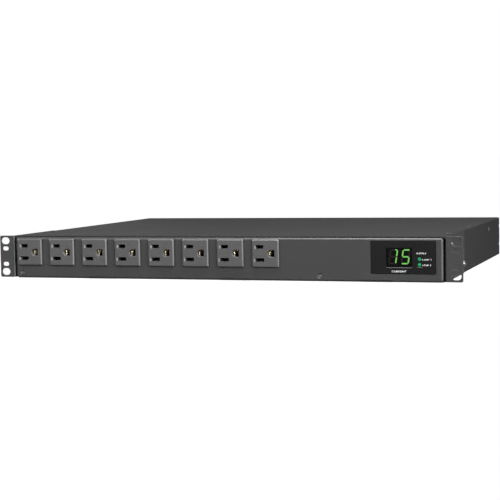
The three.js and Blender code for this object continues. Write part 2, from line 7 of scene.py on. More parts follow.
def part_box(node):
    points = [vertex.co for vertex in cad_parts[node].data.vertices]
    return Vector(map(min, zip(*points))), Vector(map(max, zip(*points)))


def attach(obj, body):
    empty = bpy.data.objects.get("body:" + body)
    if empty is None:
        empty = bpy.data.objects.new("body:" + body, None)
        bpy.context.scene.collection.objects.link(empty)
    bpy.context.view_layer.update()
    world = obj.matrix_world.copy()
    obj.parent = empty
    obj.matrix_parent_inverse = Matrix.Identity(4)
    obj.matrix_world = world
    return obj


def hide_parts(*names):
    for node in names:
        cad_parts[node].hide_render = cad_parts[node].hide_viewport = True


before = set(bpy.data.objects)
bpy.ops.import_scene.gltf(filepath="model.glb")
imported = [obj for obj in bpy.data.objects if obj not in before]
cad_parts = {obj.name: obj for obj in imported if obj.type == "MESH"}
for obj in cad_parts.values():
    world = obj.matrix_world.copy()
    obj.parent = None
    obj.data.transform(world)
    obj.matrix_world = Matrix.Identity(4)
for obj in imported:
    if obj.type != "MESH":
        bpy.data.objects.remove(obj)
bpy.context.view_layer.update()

# ------------------------------------------------------------------ frame positions, in millimetres
class Box:
    def __init__(self, node):
        lo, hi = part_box(node)
        self.x0, self.y0, self.z0 = (v * 1000 for v in lo)
        self.x1, self.y1, self.z1 = (v * 1000 for v in hi)
        self.cx, self.cy, self.cz = (self.x0 + self.x1) / 2, (self.y0 + self.y1) / 2, (self.z0 + self.z1) / 2

PANEL = Box("front_panel")
COVER = Box("top_cover")
TRAY = Box("base_tray")
YF = PANEL.y0                       # face of the front panel
OUTLETS = [Box(f"outlet_{i + 1}") for i in range(8)]
WIN = Box("display_window")
DIG = Box("digit_module")
LED1, LED2 = Box("led_primary"), Box("led_secondary")
T = 1.2

# ------------------------------------------------------------------ mesh tools (millimetres until done() scales them)
def arc(cx, cy, r, a0, a1, n):
    return [(cx + r * math.cos(math.radians(a0 + (a1 - a0) * k / n)), cy + r * math.sin(math.radians(a0 + (a1 - a0) * k / n))) for k in range(n + 1)]

def rrect(x0, x1, y0, y1, r, n=6):
    r = [r] * 4 if not isinstance(r, (list, tuple)) else list(r)
    pts = []
    for (cx, cy, a0), q in zip(((x0, y0, 180), (x1, y0, 270), (x1, y1, 0), (x0, y1, 90)), r):
        if q <= 0:
            pts.append((cx, cy))
            continue
        sx, sy = (1 if cx == x0 else -1), (1 if cy == y0 else -1)
        pts += arc(cx + sx * q, cy + sy * q, q, a0, a0 + 90, n)
    return pts

def put(axis, a, b, c):
    """(a, b) in the section's own plane at c along the axis."""
    return {"z": (a, b, c), "y": (a, c, b), "x": (c, a, b)}[axis]

def add_loft(bm, rings):
    """rings: lists of 3-D points, the same count in each; closed by flat ends."""
    rows = [[bm.verts.new(p) for p in ring] for ring in rings]
    n = len(rows[0])
    for r0, r1 in zip(rows, rows[1:]):
        for k in range(n):
            bm.faces.new((r0[k], r0[(k + 1) % n], r1[(k + 1) % n], r1[k]))
    bm.faces.new(list(reversed(rows[0])))
    bm.faces.new(rows[-1])

def add_prism(bm, pts, axis, c0, c1):
    add_loft(bm, [[put(axis, a, b, c0) for a, b in pts], [put(axis, a, b, c1) for a, b in pts]])

def add_box(bm, x0, x1, y0, y1, z0, z1):
    add_prism(bm, [(x0, y0), (x1, y0), (x1, y1), (x0, y1)], "z", z0, z1)

def add_lathe(bm, profile, pos, direction, seg=32):
    """profile: (radius, height) pairs, first and last on the axis."""
    q = Vector((0, 0, 1)).rotation_difference(Vector(direction).normalized())
    rows = []
    for r, h in profile:
        if r < 1e-6:
            rows.append([bm.verts.new(q @ Vector((0, 0, h)) + Vector(pos))])
        else:
            rows.append([bm.verts.new(q @ Vector((r * math.cos(2 * math.pi * k / seg), r * math.sin(2 * math.pi * k / seg), h)) + Vector(pos)) for k in range(seg)])
    for a, b in zip(rows, rows[1:]):
        for k in range(seg):
            j = (k + 1) % seg
            f = [a[0] if len(a) == 1 else a[k]]
            if len(a) > 1:
                f.append(a[j])
            f.append(b[0] if len(b) == 1 else b[j])
            if len(b) > 1:
                f.append(b[k])
            if len(f) > 2:
                bm.faces.new(f)

def obj_of(bm, name):
    bmesh.ops.recalc_face_normals(bm, faces=bm.faces[:])
    me = bpy.data.meshes.new(name)
    bm.to_mesh(me)
    bm.free()
    o = bpy.data.objects.new(name, me)
    bpy.context.scene.collection.objects.link(o)
    return o

def make(name, *calls):
    bm = bmesh.new()
    for fn, *args in calls:
        fn(bm, *args)
    return obj_of(bm, name)

def bake(o):
    """Applies the object's modifiers to its mesh."""
    bpy.context.view_layer.update()
    dg = bpy.context.evaluated_depsgraph_get()
    me = bpy.data.meshes.new_from_object(o.evaluated_get(dg))
    old = o.data
    o.modifiers.clear()
    o.data = me
    me.name = o.name
    bpy.data.meshes.remove(old)
    return o

def boolean(o, cutter, op="DIFFERENCE"):
    m = o.modifiers.new("b", "BOOLEAN")
    m.operation, m.solver, m.object = op, "EXACT", cutter
    bake(o)
    bpy.data.objects.remove(cutter)
    return o

def cut(o, *calls):
    return boolean(o, make("cutter", *calls))

def unite(o, *calls):
    return boolean(o, make("joined", *calls), "UNION")

def soften(o, width, segments=2, angle=38):
    bm = bmesh.new()
    bm.from_mesh(o.data)
    bmesh.ops.remove_doubles(bm, verts=bm.verts[:], dist=1e-4)
    bmesh.ops.dissolve_limit(bm, angle_limit=math.radians(0.5), verts=bm.verts[:], edges=bm.edges[:])
    bm.to_mesh(o.data)
    bm.free()
    if width:
        m = o.modifiers.new("bevel", "BEVEL")
        m.width, m.segments, m.limit_method, m.angle_limit = width, segments, "ANGLE", math.radians(angle)
        m.use_clamp_overlap = True
        m.miter_outer = "MITER_ARC"
        bake(o)
    return o

def done(o, body, nodes, mats, width=0.0, segments=2, angle=38, smooth=32):
    """Edges rounded, shading settled, scaled to metres, given its materials, ridden, and the CAD nodes it replaces
    hidden.
    """
    soften(o, width, segments, angle)
    me = o.data
    for p in me.polygons:
        p.use_smooth = True
    me.set_sharp_from_angle(angle=math.radians(smooth))
    w = o.modifiers.new("wn", "WEIGHTED_NORMAL")
    w.keep_sharp = True
    bake(o)
    o.data.transform(Matrix.Scale(0.001, 4))
    o.data.materials.clear()
    for m in (mats if isinstance(mats, (list, tuple)) else [mats]):
        o.data.materials.append(m)
    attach(o, body)
    if nodes:
        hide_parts(*([nodes] if isinstance(nodes, str) else nodes))
    return o

# ------------------------------------------------------------------ materials
class Nodes:
    def __init__(self, name):
        self.mat = bpy.data.materials.new(name)
        self.mat.use_nodes = True
        self.t = self.mat.node_tree
        self.bsdf = self.t.nodes["Principled BSDF"]
        self.coord = self.t.nodes.new("ShaderNodeTexCoord")

    def new(self, kind, **values):
        n = self.t.nodes.new(kind)
        for k, v in values.items():
            if hasattr(n, k):
                setattr(n, k, v)
            else:
                n.inputs[k.replace("_", " ")].default_value = v
        return n

    def link(self, a, b):
        self.t.links.new(a, b)

    def mapped(self, scale):
        m = self.new("ShaderNodeMapping")
        m.inputs["Scale"].default_value = scale
        self.link(self.coord.outputs["Object"], m.inputs["Vector"])
        return m.outputs["Vector"]

    def noise(self, scale, detail=3.0, rough=0.5, vector=None):
        n = self.new("ShaderNodeTexNoise")
        n.inputs["Scale"].default_value = scale
        n.inputs["Detail"].default_value = detail
        n.inputs["Roughness"].default_value = rough
        self.link(vector or self.coord.outputs["Object"], n.inputs["Vector"])
        return n.outputs["Fac"]

    def span(self, value, lo, hi, from_lo=0.3, from_hi=0.7):
        r = self.new("ShaderNodeMapRange")
        r.inputs["From Min"].default_value = from_lo
        r.inputs["From Max"].default_value = from_hi
        r.inputs["To Min"].default_value = lo
        r.inputs["To Max"].default_value = hi
        self.link(value, r.inputs["Value"])
        return r.outputs["Result"]

    def mix(self, fac, a, b):
        m = self.new("ShaderNodeMix", data_type="RGBA")
        self.link(fac, m.inputs["Factor"])
        for sock, v in ((m.inputs[6], a), (m.inputs[7], b)):
            if isinstance(v, bpy.types.NodeSocket):
                self.link(v, sock)
            else:
                sock.default_value = (*v, 1)
        return m.outputs[2]

    def bump(self, height, strength, distance):
        b = self.new("ShaderNodeBump")
        b.inputs["Strength"].default_value = strength
        b.inputs["Distance"].default_value = distance
        self.link(height, b.inputs["Height"])
        self.link(b.outputs["Normal"], self.bsdf.inputs["Normal"])

    def color(self, out):
        self.link(out, self.bsdf.inputs["Base Color"])

    def rough(self, out):
        self.link(out, self.bsdf.inputs["Roughness"])

def tint(c, k):
    return tuple(min(1.0, v * k) for v in c)

def powder(name, base, rough=(0.36, 0.46), wear=0.5, spec=0.35, grain=1500, bump=0.3):
    """Fine textured powder coat: orange-peel grain, faint cloudy tone, lighter rubbed patches scattered at random."""
    n = Nodes(name)
    fine = n.noise(grain, 4, 0.6)
    cloud = n.noise(14, 3, 0.55)
    speck = n.noise(grain * 2.2, 2, 0.5)
    body = n.mix(n.span(cloud, 0, 1), tint(base, 0.93), tint(base, 1.07))
    body = n.mix(n.span(speck, 0, 0.35, 0.55, 0.75), body, tint(base, 1.35))
    rubbed = n.span(n.noise(46, 4, 0.62), 0, wear, 0.66, 0.8)
    n.color(n.mix(rubbed, body, tint(base, 1.35)))
    n.rough(n.span(fine, rough[0], rough[1]))
    n.bsdf.inputs["Specular IOR Level"].default_value = spec
    n.bump(fine, bump, 0.00006)
    return n.mat

def plastic(name, base, rough=(0.42, 0.52), grain=2200, bump=0.2, spec=0.4, tone=0.05):
    """Moulded plastic: fine spark-eroded grain with a faint flow tone."""
    n = Nodes(name)
    fine = n.noise(grain, 3, 0.6)
    flow = n.noise(60, 3, 0.5, n.mapped((1, 1, 0.35)))
    n.color(n.mix(n.span(flow, 0, 1), tint(base, 1 - tone), tint(base, 1 + tone)))
    n.rough(n.span(fine, rough[0], rough[1]))
    n.bsdf.inputs["Specular IOR Level"].default_value = spec
    n.bump(fine, bump, 0.00003)
    return n.mat

def metal(name, base, rough=(0.22, 0.38), stretch=(1, 1, 1), grain=700, tone=0.12, bump=0.12, metallic=1.0):
    """Bare or plated metal: drawn streaks and a tone that drifts."""
    n = Nodes(name)
    streak = n.noise(grain, 4, 0.55, n.mapped(stretch))
    drift = n.noise(90, 3, 0.5)
    n.color(n.mix(n.span(drift, 0, 1), tint(base, 1 - tone), tint(base, 1 + tone)))
    n.rough(n.span(streak, rough[0], rough[1]))
    n.bsdf.inputs["Metallic"].default_value = metallic
    n.bump(streak, bump, 0.00003)
    return n.mat

def glowing(name, base, glow, strength, scale=900):
    """A lit segment or lamp: tinted epoxy with a slightly uneven glow."""
    n = Nodes(name)
    v = n.noise(scale, 2, 0.5)
    n.color(n.mix(n.span(v, 0, 1), tint(base, 0.9), tint(base, 1.1)))
    n.link(n.mix(n.span(v, 0, 1), tint(glow, 0.88), tint(glow, 1.0)), n.bsdf.inputs["Emission Color"])
    n.bsdf.inputs["Emission Strength"].default_value = strength
    n.rough(n.span(v, 0.25, 0.4))
    n.bsdf.inputs["Specular IOR Level"].default_value = 0.08
    return n.mat

def board_mat(name, base):
    n = Nodes(name)
    weave = n.noise(1600, 2, 0.5)
    tracks = n.new("ShaderNodeTexBrick")
    tracks.inputs["Scale"].default_value = 160
    tracks.inputs["Color1"].default_value = (*base, 1)
    tracks.inputs["Color2"].default_value = (*tint(base, 1.25), 1)
    tracks.inputs["Mortar"].default_value = (*tint(base, 0.7), 1)
    n.link(n.coord.outputs["Object"], tracks.inputs["Vector"])
    n.color(n.mix(n.span(weave, 0, 1), tint(base, 0.9), tracks.outputs["Color"]))
    n.rough(n.span(weave, 0.35, 0.5))
    n.bump(weave, 0.15, 0.00004)
    return n.mat

M_COVER = powder("cover_coat", (0.0074, 0.0074, 0.0075), rough=(0.58, 0.68), spec=0.06)
M_PANEL = powder("panel_coat", (0.0072, 0.0072, 0.0075), spec=0.168)
M_EAR = powder("ear_coat", (0.0070, 0.0070, 0.0071), spec=0.171)
M_TRAY = powder("tray_coat", (0.0069, 0.0069, 0.0070), spec=0.16)
M_SCREW = metal("black_oxide", (0.045, 0.045, 0.048), (0.3, 0.42), metallic=0.7)
M_OUTLET = plastic("outlet_nylon", (0.0150, 0.0150, 0.0150), (0.36, 0.46), spec=0.185)
M_BRASS = metal("contact_brass", (0.93, 0.84, 0.56), (0.2, 0.32), (1, 6, 1), tone=0.06)
# hot and neutral contacts: brass painted near-black, a painted shade for the dark inside of the slots
M_CONTACT_PAINTED_SHADE = metal("blade_contact_painted_shade", (0.060, 0.055, 0.050), (0.4, 0.5), (1, 6, 1))
M_WINDOW = plastic("smoked_sheet", (0.0020, 0.0020, 0.0021), (0.16, 0.24), grain=600, bump=0.05, spec=0.14)
M_DIGFACE = plastic("digit_face", (0.0006, 0.0006, 0.0006), (0.3, 0.38), bump=0.05, spec=0.03)
M_LIT = glowing("segment_lit", (0.004, 0.012, 0.003), (0.19, 0.60, 0.11), 0.9)
M_UNLIT = plastic("segment_unlit", (0.0028, 0.0024, 0.0020), (0.35, 0.45), spec=0.05)
M_LED = glowing("lamp_lit", (0.001, 0.010, 0.005), (0.012, 0.56, 0.19), 0.6)
M_PRINT = plastic("printed_ink", (0.17, 0.17, 0.17), (0.5, 0.6), bump=0.08)
M_PRINT_DIM = plastic("printed_line", (0.034, 0.034, 0.035), (0.5, 0.6), bump=0.08)
M_BLACK = plastic("black_thermoplastic", (0.020, 0.020, 0.021), (0.38, 0.5))
M_NICKEL = metal("nickel_plate", (0.66, 0.65, 0.62), (0.16, 0.3), (1, 5, 1))
M_WHITE = plastic("white_button", (0.66, 0.66, 0.63), (0.3, 0.4))
M_STEEL = metal("stamped_steel", (0.55, 0.55, 0.56), (0.25, 0.4), (5, 1, 1))
M_COPPER = metal("enamelled_winding", (0.55, 0.22, 0.09), (0.25, 0.4), (1, 1, 9), metallic=0.6)
M_LAM = metal("varnished_laminations", (0.10, 0.10, 0.105), (0.4, 0.55), (1, 12, 1), metallic=0.5)
M_CAN = plastic("can_sleeve", (0.02, 0.025, 0.05), (0.3, 0.4))
M_FERRITE = plastic("coated_ring", (0.03, 0.03, 0.032), (0.5, 0.65))
M_BOARD = board_mat("solder_mask", (0.015, 0.09, 0.035))
M_WIRE_BLACK = plastic("wire_black", (0.012, 0.012, 0.012), (0.45, 0.55))
M_WIRE_WHITE = plastic("wire_white", (0.6, 0.6, 0.57), (0.45, 0.55))
M_WIRE_GREEN = plastic("wire_green", (0.02, 0.16, 0.05), (0.45, 0.55))
M_RIBBON = plastic("ribbon_grey", (0.33, 0.35, 0.37), (0.45, 0.55))

# ------------------------------------------------------------------ camera, lights and floor
def rot(yaw, pitch, roll):
    fw = Vector((-math.sin(yaw) * math.cos(pitch), math.cos(yaw) * math.cos(pitch), -math.sin(pitch)))
    right = Vector((math.cos(yaw), math.sin(yaw), 0))
    up = right.cross(fw)
    c, s = math.cos(roll), math.sin(roll)
    return c * right + s * up, -s * right + c * up, fw

cam_data = bpy.data.cameras.new("camera")
cam = bpy.data.objects.new("camera", cam_data)
bpy.context.scene.collection.objects.link(cam)
r_, u_, f_ = rot(0.3230048, 0.0706699, -0.0184090)
m = Matrix((r_, u_, -f_)).transposed().to_4x4()
m.translation = Vector((0.4471040, -1.2383139 + YF / 1000, 0.1221272))
cam.matrix_world = m
cam_data.sensor_width = 36
cam_data.lens = 1352.1053 * 36 / 500
cam_data.clip_start, cam_data.clip_end = 0.01, 100
bpy.context.scene.camera = cam

def area(name, loc, target, size, power, size_y=None, color=(1, 1, 1)):
    d = bpy.data.lights.new(name, "AREA")
    d.shape = "RECTANGLE"
    d.size, d.size_y = size, size_y or size
    d.energy, d.color = power, color
    o = bpy.data.objects.new(name, d)
    bpy.context.scene.collection.objects.link(o)
    o.location = loc
    o.rotation_euler = (Vector(target) - Vector(loc)).to_track_quat("-Z", "Y").to_euler()
    return o

LIGHTS = {
    "top_mid": ((0.0, -0.25, 1.5), (0.0, -0.1, 0), 0.6, 0.6, 86.0),
    "top_l": ((-0.8, -0.25, 1.5), (-0.1, -0.1, 0), 0.7, 0.6, 4.0),
    "front_high": ((0.1, -1.3, 1.4), (0, -0.15, 0.02), 1.4, 0.7, 75.0),
    "front_left": ((-1.1, -1.5, 0.6), (-0.1, -0.15, 0.02), 0.8, 0.7, 37.8),
    "front_low": ((-0.2, -1.9, 0.3), (0.1, -0.18, 0.02), 0.4, 0.5, 2.6),
    "front_right": ((1.1, -1.6, 0.6), (0.1, -0.18, 0.02), 0.6, 0.6, 44.1),
    "right_soft": ((1.6, -0.95, 0.35), (0.0, -0.18, 0.02), 0.5, 0.5, 64.0),
    "right_front": ((1.3, -1.15, 0.25), (0.1, -0.18, 0.02), 0.3, 0.4, 58.7),
    "left": ((-1.7, -0.3, 0.5), (-0.1, -0.1, 0.02), 0.8, 0.8, 44.8),
    "back_l": ((-1.3, 2.0, 0.35), (-0.1, 0, 0.04), 0.6, 0.5, 0.8),
    "back_r": ((-0.1, 2.0, 0.35), (0.1, 0, 0.04), 0.8, 0.5, 0.24),
    "rear_low": ((0.0, 1.0, 0.019), (0.0, 0.18, 0.019), 0.42, 0.034, 12.0),
    "high_right": ((0.85, -0.5, 1.3), (0.0, -0.18, 0.02), 0.22, 0.22, 26.0),
}
studio = bpy.data.collections.new("object_lights")       # these softboxes light the object, not the floor
for name_, (loc_, to_, sx_, sy_, power_) in LIGHTS.items():
    area(name_, loc_, to_, sx_, power_, sy_).light_linking.receiver_collection = studio

world = bpy.data.worlds.new("studio")
bpy.context.scene.world = world
world.use_nodes = True
wt = world.node_tree
bg = wt.nodes["Background"]
bg.inputs["Color"].default_value = (1, 1, 1, 1)
bg.inputs["Strength"].default_value = 0.0
white = wt.nodes.new("ShaderNodeBackground")
white.inputs["Color"].default_value = (1, 1, 1, 1)
white.inputs["Strength"].default_value = 1.0
both = wt.nodes.new("ShaderNodeMixShader")
ray = wt.nodes.new("ShaderNodeLightPath")
wt.links.new(ray.outputs["Is Camera Ray"], both.inputs["Fac"])
wt.links.new(bg.outputs["Background"], both.inputs[1])
wt.links.new(white.outputs["Background"], both.inputs[2])
wt.links.new(both.outputs["Shader"], wt.nodes["World Output"].inputs["Surface"])

bm = bmesh.new()
add_box(bm, -60, 60, -40, 80, -0.02, -0.0002)
floor = obj_of(bm, "floor")
nf = Nodes("pale_floor")
nf.color(nf.mix(nf.span(nf.noise(3, 3, 0.5), 0, 1), (0.90, 0.90, 0.90), (0.93, 0.93, 0.93)))
nf.rough(nf.span(nf.noise(40, 3, 0.5), 0.75, 0.85))
nf.bsdf.inputs["Specular IOR Level"].default_value = 0.1
nf.bsdf.inputs["Emission Color"].default_value = (1, 1, 1, 1)
# the floor looks white, and gives a softer bounce than it shows
seen = nf.new("ShaderNodeLightPath")
nf.link(nf.span(seen.outputs["Is Camera Ray"], 0.27, 1.0, 0.0, 1.0), nf.bsdf.inputs["Emission Strength"])
floor.data.materials.append(nf.mat)
studio.objects.link(floor)
studio.collection_objects[0].light_linking.link_state = "EXCLUDE"

bpy.context.scene.view_settings.view_transform = "Standard"
bpy.context.scene.view_settings.look = "None"

# ------------------------------------------------------------------ front panel
def Y(y):
    """Depth behind the panel's face."""
    return YF + y

NOTCH_X = (-124.7, 16.5, 156.8)
FRONT_SCREWS = [Box("front_screw_left"), Box("front_screw_mid")]

def pan(bm, x0, x1, y0, y1, z0, z1, r_front, r_low, r_top, seg):
    """A box open to the back with its front edges rolled and its upright corners rounded."""
    def ring(inset, y):
        c = lambda r: max(0.25, r - inset * 0.8)
        return [(a, y, b) for a, b in rrect(x0 + inset, x1 - inset, z0 + inset, z1 - inset, [c(r_low), c(r_low), c(r_top), c(r_top)], 6)]
    rings = [ring(0, y1)]
    for k in range(seg + 1):
        a = math.pi / 2 * k / seg
        rings.append(ring(r_front * (1 - math.cos(a)), y0 + r_front * (1 - math.sin(a))))
    add_loft(bm, rings)

p = make("front_panel_sheet", (pan, PANEL.x0, PANEL.x1, YF, Y(7), PANEL.z0, PANEL.z1, 2.1, 2.6, 0.9, 9))
boolean(p, make("inner", (pan, PANEL.x0 + T, PANEL.x1 - T, Y(T), Y(12), PANEL.z0 + T, PANEL.z1 - T, 0.9, 1.4, 0.3, 6)))
calls = [(add_box, PANEL.x0 - 1, PANEL.x1 + 1, Y(3.0), Y(12), -1, 1.55)]
cut(p, *calls)
calls = []
for b in OUTLETS:
    h = 12.85
    calls.append((add_prism, rrect(b.cx - h, b.cx + h, b.cz - h, b.cz + h, 0.6, 3), "y", Y(-1), Y(3)))
calls.append((add_prism, rrect(WIN.x0 - 0.35, WIN.x1 + 0.35, WIN.z0 - 0.35, WIN.z1 + 0.35, 0.8, 4), "y", Y(-1), Y(3)))
for c in NOTCH_X:
    calls.append((add_prism, rrect(c - 15.55, c + 15.55, -1.5, 1.75, [0, 0, 0.4, 0.4], 3), "y", Y(-1), Y(2.4)))
for b in FRONT_SCREWS:
    calls.append((add_lathe, [(0, 0), (2.95, 0), (2.66, 0.22), (1.6, 1.42), (1.6, 1.9), (0, 1.9)], (b.cx, Y(-0.2), b.cz), (0, 1, 0), 32))
for s in (PANEL.x0, PANEL.x1):
    calls.append((add_prism, rrect(s - 1.15, s + 1.15, PANEL.z1 - 1.15, PANEL.z1 + 1.15, 0.3, 2), "y", Y(-1), Y(8)))
cut(p, *calls)
# studs on the back that carry the display board
unite(p, *[(add_lathe, [(0, 0), (1.8, 0), (1.8, 7.5), (0, 7.5)], (x, Y(T - 0.1), z), (0, 1, 0), 20) for x in (148.9, 217.2) for z in (9.0, 36.6)])
done(p, "chassis", "front_panel", M_PANEL, 0.14, 2, 40)

# ------------------------------------------------------------------ top cover
def cover_ring(y, inset=0.0):
    x0, x1, z0, z1, ro, ri = COVER.x0 + inset, COVER.x1 - inset, COVER.z0, COVER.z1 - inset, 1.7, 0.5
    t = T - 2 * inset
    pts = [(x0, z0)]
    pts += arc(x0 + ro, z1 - ro, ro, 180, 90, 8)
    pts += arc(x1 - ro, z1 - ro, ro, 90, 0, 8)
    pts += [(x1, z0), (x1 - t, z0)]
    pts += arc(x1 - t - ri, z1 - t - ri, ri, 0, 90, 4)
    pts += arc(x0 + t + ri, z1 - t - ri, ri, 90, 180, 4)
    pts += [(x0 + t, z0)]
    return [(a, y, b) for a, b in pts]

TOP_SCREWS = [Box(f"cover_screw_{s}_{k}") for s in ("left", "right") for k in (1, 2)]
SIDE_SCREWS = [Box("side_screw_left"), Box("side_screw_right")]
EAR_SCREWS = {(s, k): Box(f"ear_screw_{s}_{k}") for s in ("left", "right") for k in (1, 2)}
c = make("cover_sheet", (add_loft, [cover_ring(COVER.y0), cover_ring(COVER.y1)]))
calls = []
for b in TOP_SCREWS:
    calls.append((add_lathe, [(0, 0), (3.55, 0), (3.15, 0.35), (1.95, 1.6), (1.8, 2.2), (0, 2.2)], (b.cx, b.cy, COVER.z1 + 0.2), (0, 0, -1), 36))
for b, s in zip(SIDE_SCREWS, (-1, 1)):
    x = COVER.x1 if s > 0 else COVER.x0
    calls.append((add_lathe, [(0, 0), (3.55, 0), (3.15, 0.35), (1.95, 1.6), (1.8, 2.2), (0, 2.2)], (x + s * 0.2, b.cy, b.cz), (-s, 0, 0), 36))
for (s, k), b in EAR_SCREWS.items():
    sx = 1 if s == "right" else -1
    calls.append((add_lathe, [(0, 0), (2.3, 0), (2.3, 5), (0, 5)], (sx * 219.4, b.cy, b.cz), (sx, 0, 0), 24))
for s in (-1, 1):
    for z in (12.2, 33.2):
        calls.append((add_box, min(s * 220, s * 224), max(s * 220, s * 224), COVER.y1 - 2.2, COVER.y1 + 2, z - 1.7, z + 1.7))
    # the sides start a little way behind the top's front edge
    calls.append((add_box, min(s * 220.5, s * 224), max(s * 220.5, s * 224), Y(0), Y(6.0), -1, 41.0))
# small pressed marks along the front edge of the top
for x in (-177.1, -13.9, 75.0, 184.1):
    calls.append((add_lathe, [(0, 0), (1.62, 0), (1.45, 0.2), (0.75, 0.72), (0, 0.75)], (x, Y(4.3), COVER.z1 + 0.1), (0, 0, -1), 24))
cut(c, *calls)
done(c, "chassis", "top_cover", M_COVER, 0.16, 2, 40)

# ------------------------------------------------------------------ rack ears
for side, s in (("left", -1), ("right", 1)):
    b = Box(f"ear_{side}")
    xi, xo = (b.x0, b.x1) if s > 0 else (-b.x1, -b.x0)          # drawn for the right side, then mirrored
    t, r = 1.6, 1.9
    y0, y1 = b.y0, b.y1
    pts = arc(xi + r, y0 + r, r, 180, 270, 9) + [(xo, y0), (xo, y0 + t)] + arc(xi + t + 0.5, y0 + t + 0.5, 0.5, 270, 180, 4) + [(xi + t, y1), (xi, y1)]
    e = make(f"ear_{side}_bracket", (add_prism, [(s * x, y) for x, y in pts], "z", b.z0, b.z1))
    f = [(s * x, z) for x, z in rrect(xi - 1, xo, b.z0, b.z1, [0, 1.7, 1.7, 0], 7)]
    boolean(e, make("trim", (add_prism, f, "y", y0 - 1, y1 + 1)), "INTERSECT")
    f = rrect(y0 - 1, y1, b.z0, b.z1, [0, 6, 6, 0], 10)
    boolean(e, make("trim", (add_prism, f, "x", b.x0 - 1, b.x1 + 1)), "INTERSECT")
    calls = []
    for z, w, h in ((15.875, 9.3, 7.1), (-15.875, 9.3, 7.1), (7.9375, 6.9, 4.1), (-7.9375, 6.9, 4.1)):
        zc, d = 22.0 + z, (w - h) / 2
        pts = arc(s * 233.0 + d, zc, h / 2, -90, 90, 14) + arc(s * 233.0 - d, zc, h / 2, 90, 270, 14)
        calls.append((add_prism, pts, "y", y0 - 1, y0 + 3))
    for k in (1, 2):
        q = EAR_SCREWS[(side, k)]
        calls.append((add_lathe, [(0, 0), (2.3, 0), (2.3, 5), (0, 5)], (s * (xi - 1.5), q.cy, q.cz), (s, 0, 0), 24))
    cut(e, *calls)
    done(e, "chassis", f"ear_{side}", M_EAR, 0.22, 3, 40)

# ------------------------------------------------------------------ screws
def screw(name, node, profile, pos, direction, recess, depth, body="chassis"):
    o = make(name, (add_lathe, profile, pos, direction, 36))
    for flip in (0, 1):
        bm = bmesh.new()
        q = Vector((0, 0, 1)).rotation_difference(Vector(direction).normalized())
        rings = []
        for h, k in ((-0.2, 1.06), (depth, 0.45)):
            a, w = recess * k, recess * 0.22 * (0.6 + 0.4 * k)
            ring = [(-a, -w), (a, -w), (a, w), (-a, w)]
            if flip:
                ring = [(-y_, x_) for x_, y_ in ring]
            rings.append([q @ Vector((x_, y_, h)) + Vector(pos) for x_, y_ in ring])
        add_loft(bm, rings)
        boolean(o, obj_of(bm, "cross"))
    return done(o, body, node, M_SCREW, 0.07, 2, 35)

FLUSH = [(0, 0), (2.5, 0), (2.72, 0.1), (2.75, 0.3), (1.5, 1.6), (1.45, 7.5), (0, 7.5)]
for s in ("left", "right"):
    for k in (1, 2):
        b = Box(f"cover_screw_{s}_{k}")
        screw(f"cover_screw_{s}_{k}_head", f"cover_screw_{s}_{k}", FLUSH, (b.cx, b.cy, b.z1), (0, 0, -1), 1.55, 1.2)
for s, d in (("left", 1), ("right", -1)):
    b = Box(f"side_screw_{s}")
    screw(f"side_screw_{s}_head", f"side_screw_{s}", FLUSH, (b.x0 if d > 0 else b.x1, b.cy, b.cz), (d, 0, 0), 1.55, 1.2)
for n in ("left", "mid"):
    b = Box(f"front_screw_{n}")
    screw(f"front_screw_{n}_head", f"front_screw_{n}", [(0, 0), (1.6, 0), (1.72, 0.05), (1.75, 0.14), (1.27, 0.62), (1.25, 6.9), (0, 6.9)], (b.cx, b.y0, b.cz), (0, 1, 0), 1.05, 0.8)
for (s, k), b in EAR_SCREWS.items():
    d = -1 if s == "right" else 1
    screw(f"ear_screw_{s}_{k}_head", f"ear_screw_{s}_{k}", [(0, 0), (1.9, 0.03), (2.7, 0.25), (3.2, 0.7), (3.45, 1.3), (3.5, 1.8), (3.5, 2.1), (1.9, 2.1), (1.9, 9.4), (0, 9.4)],
          (b.x1 if d < 0 else b.x0, b.cy, b.cz), (d, 0, 0), 1.9, 1.4)

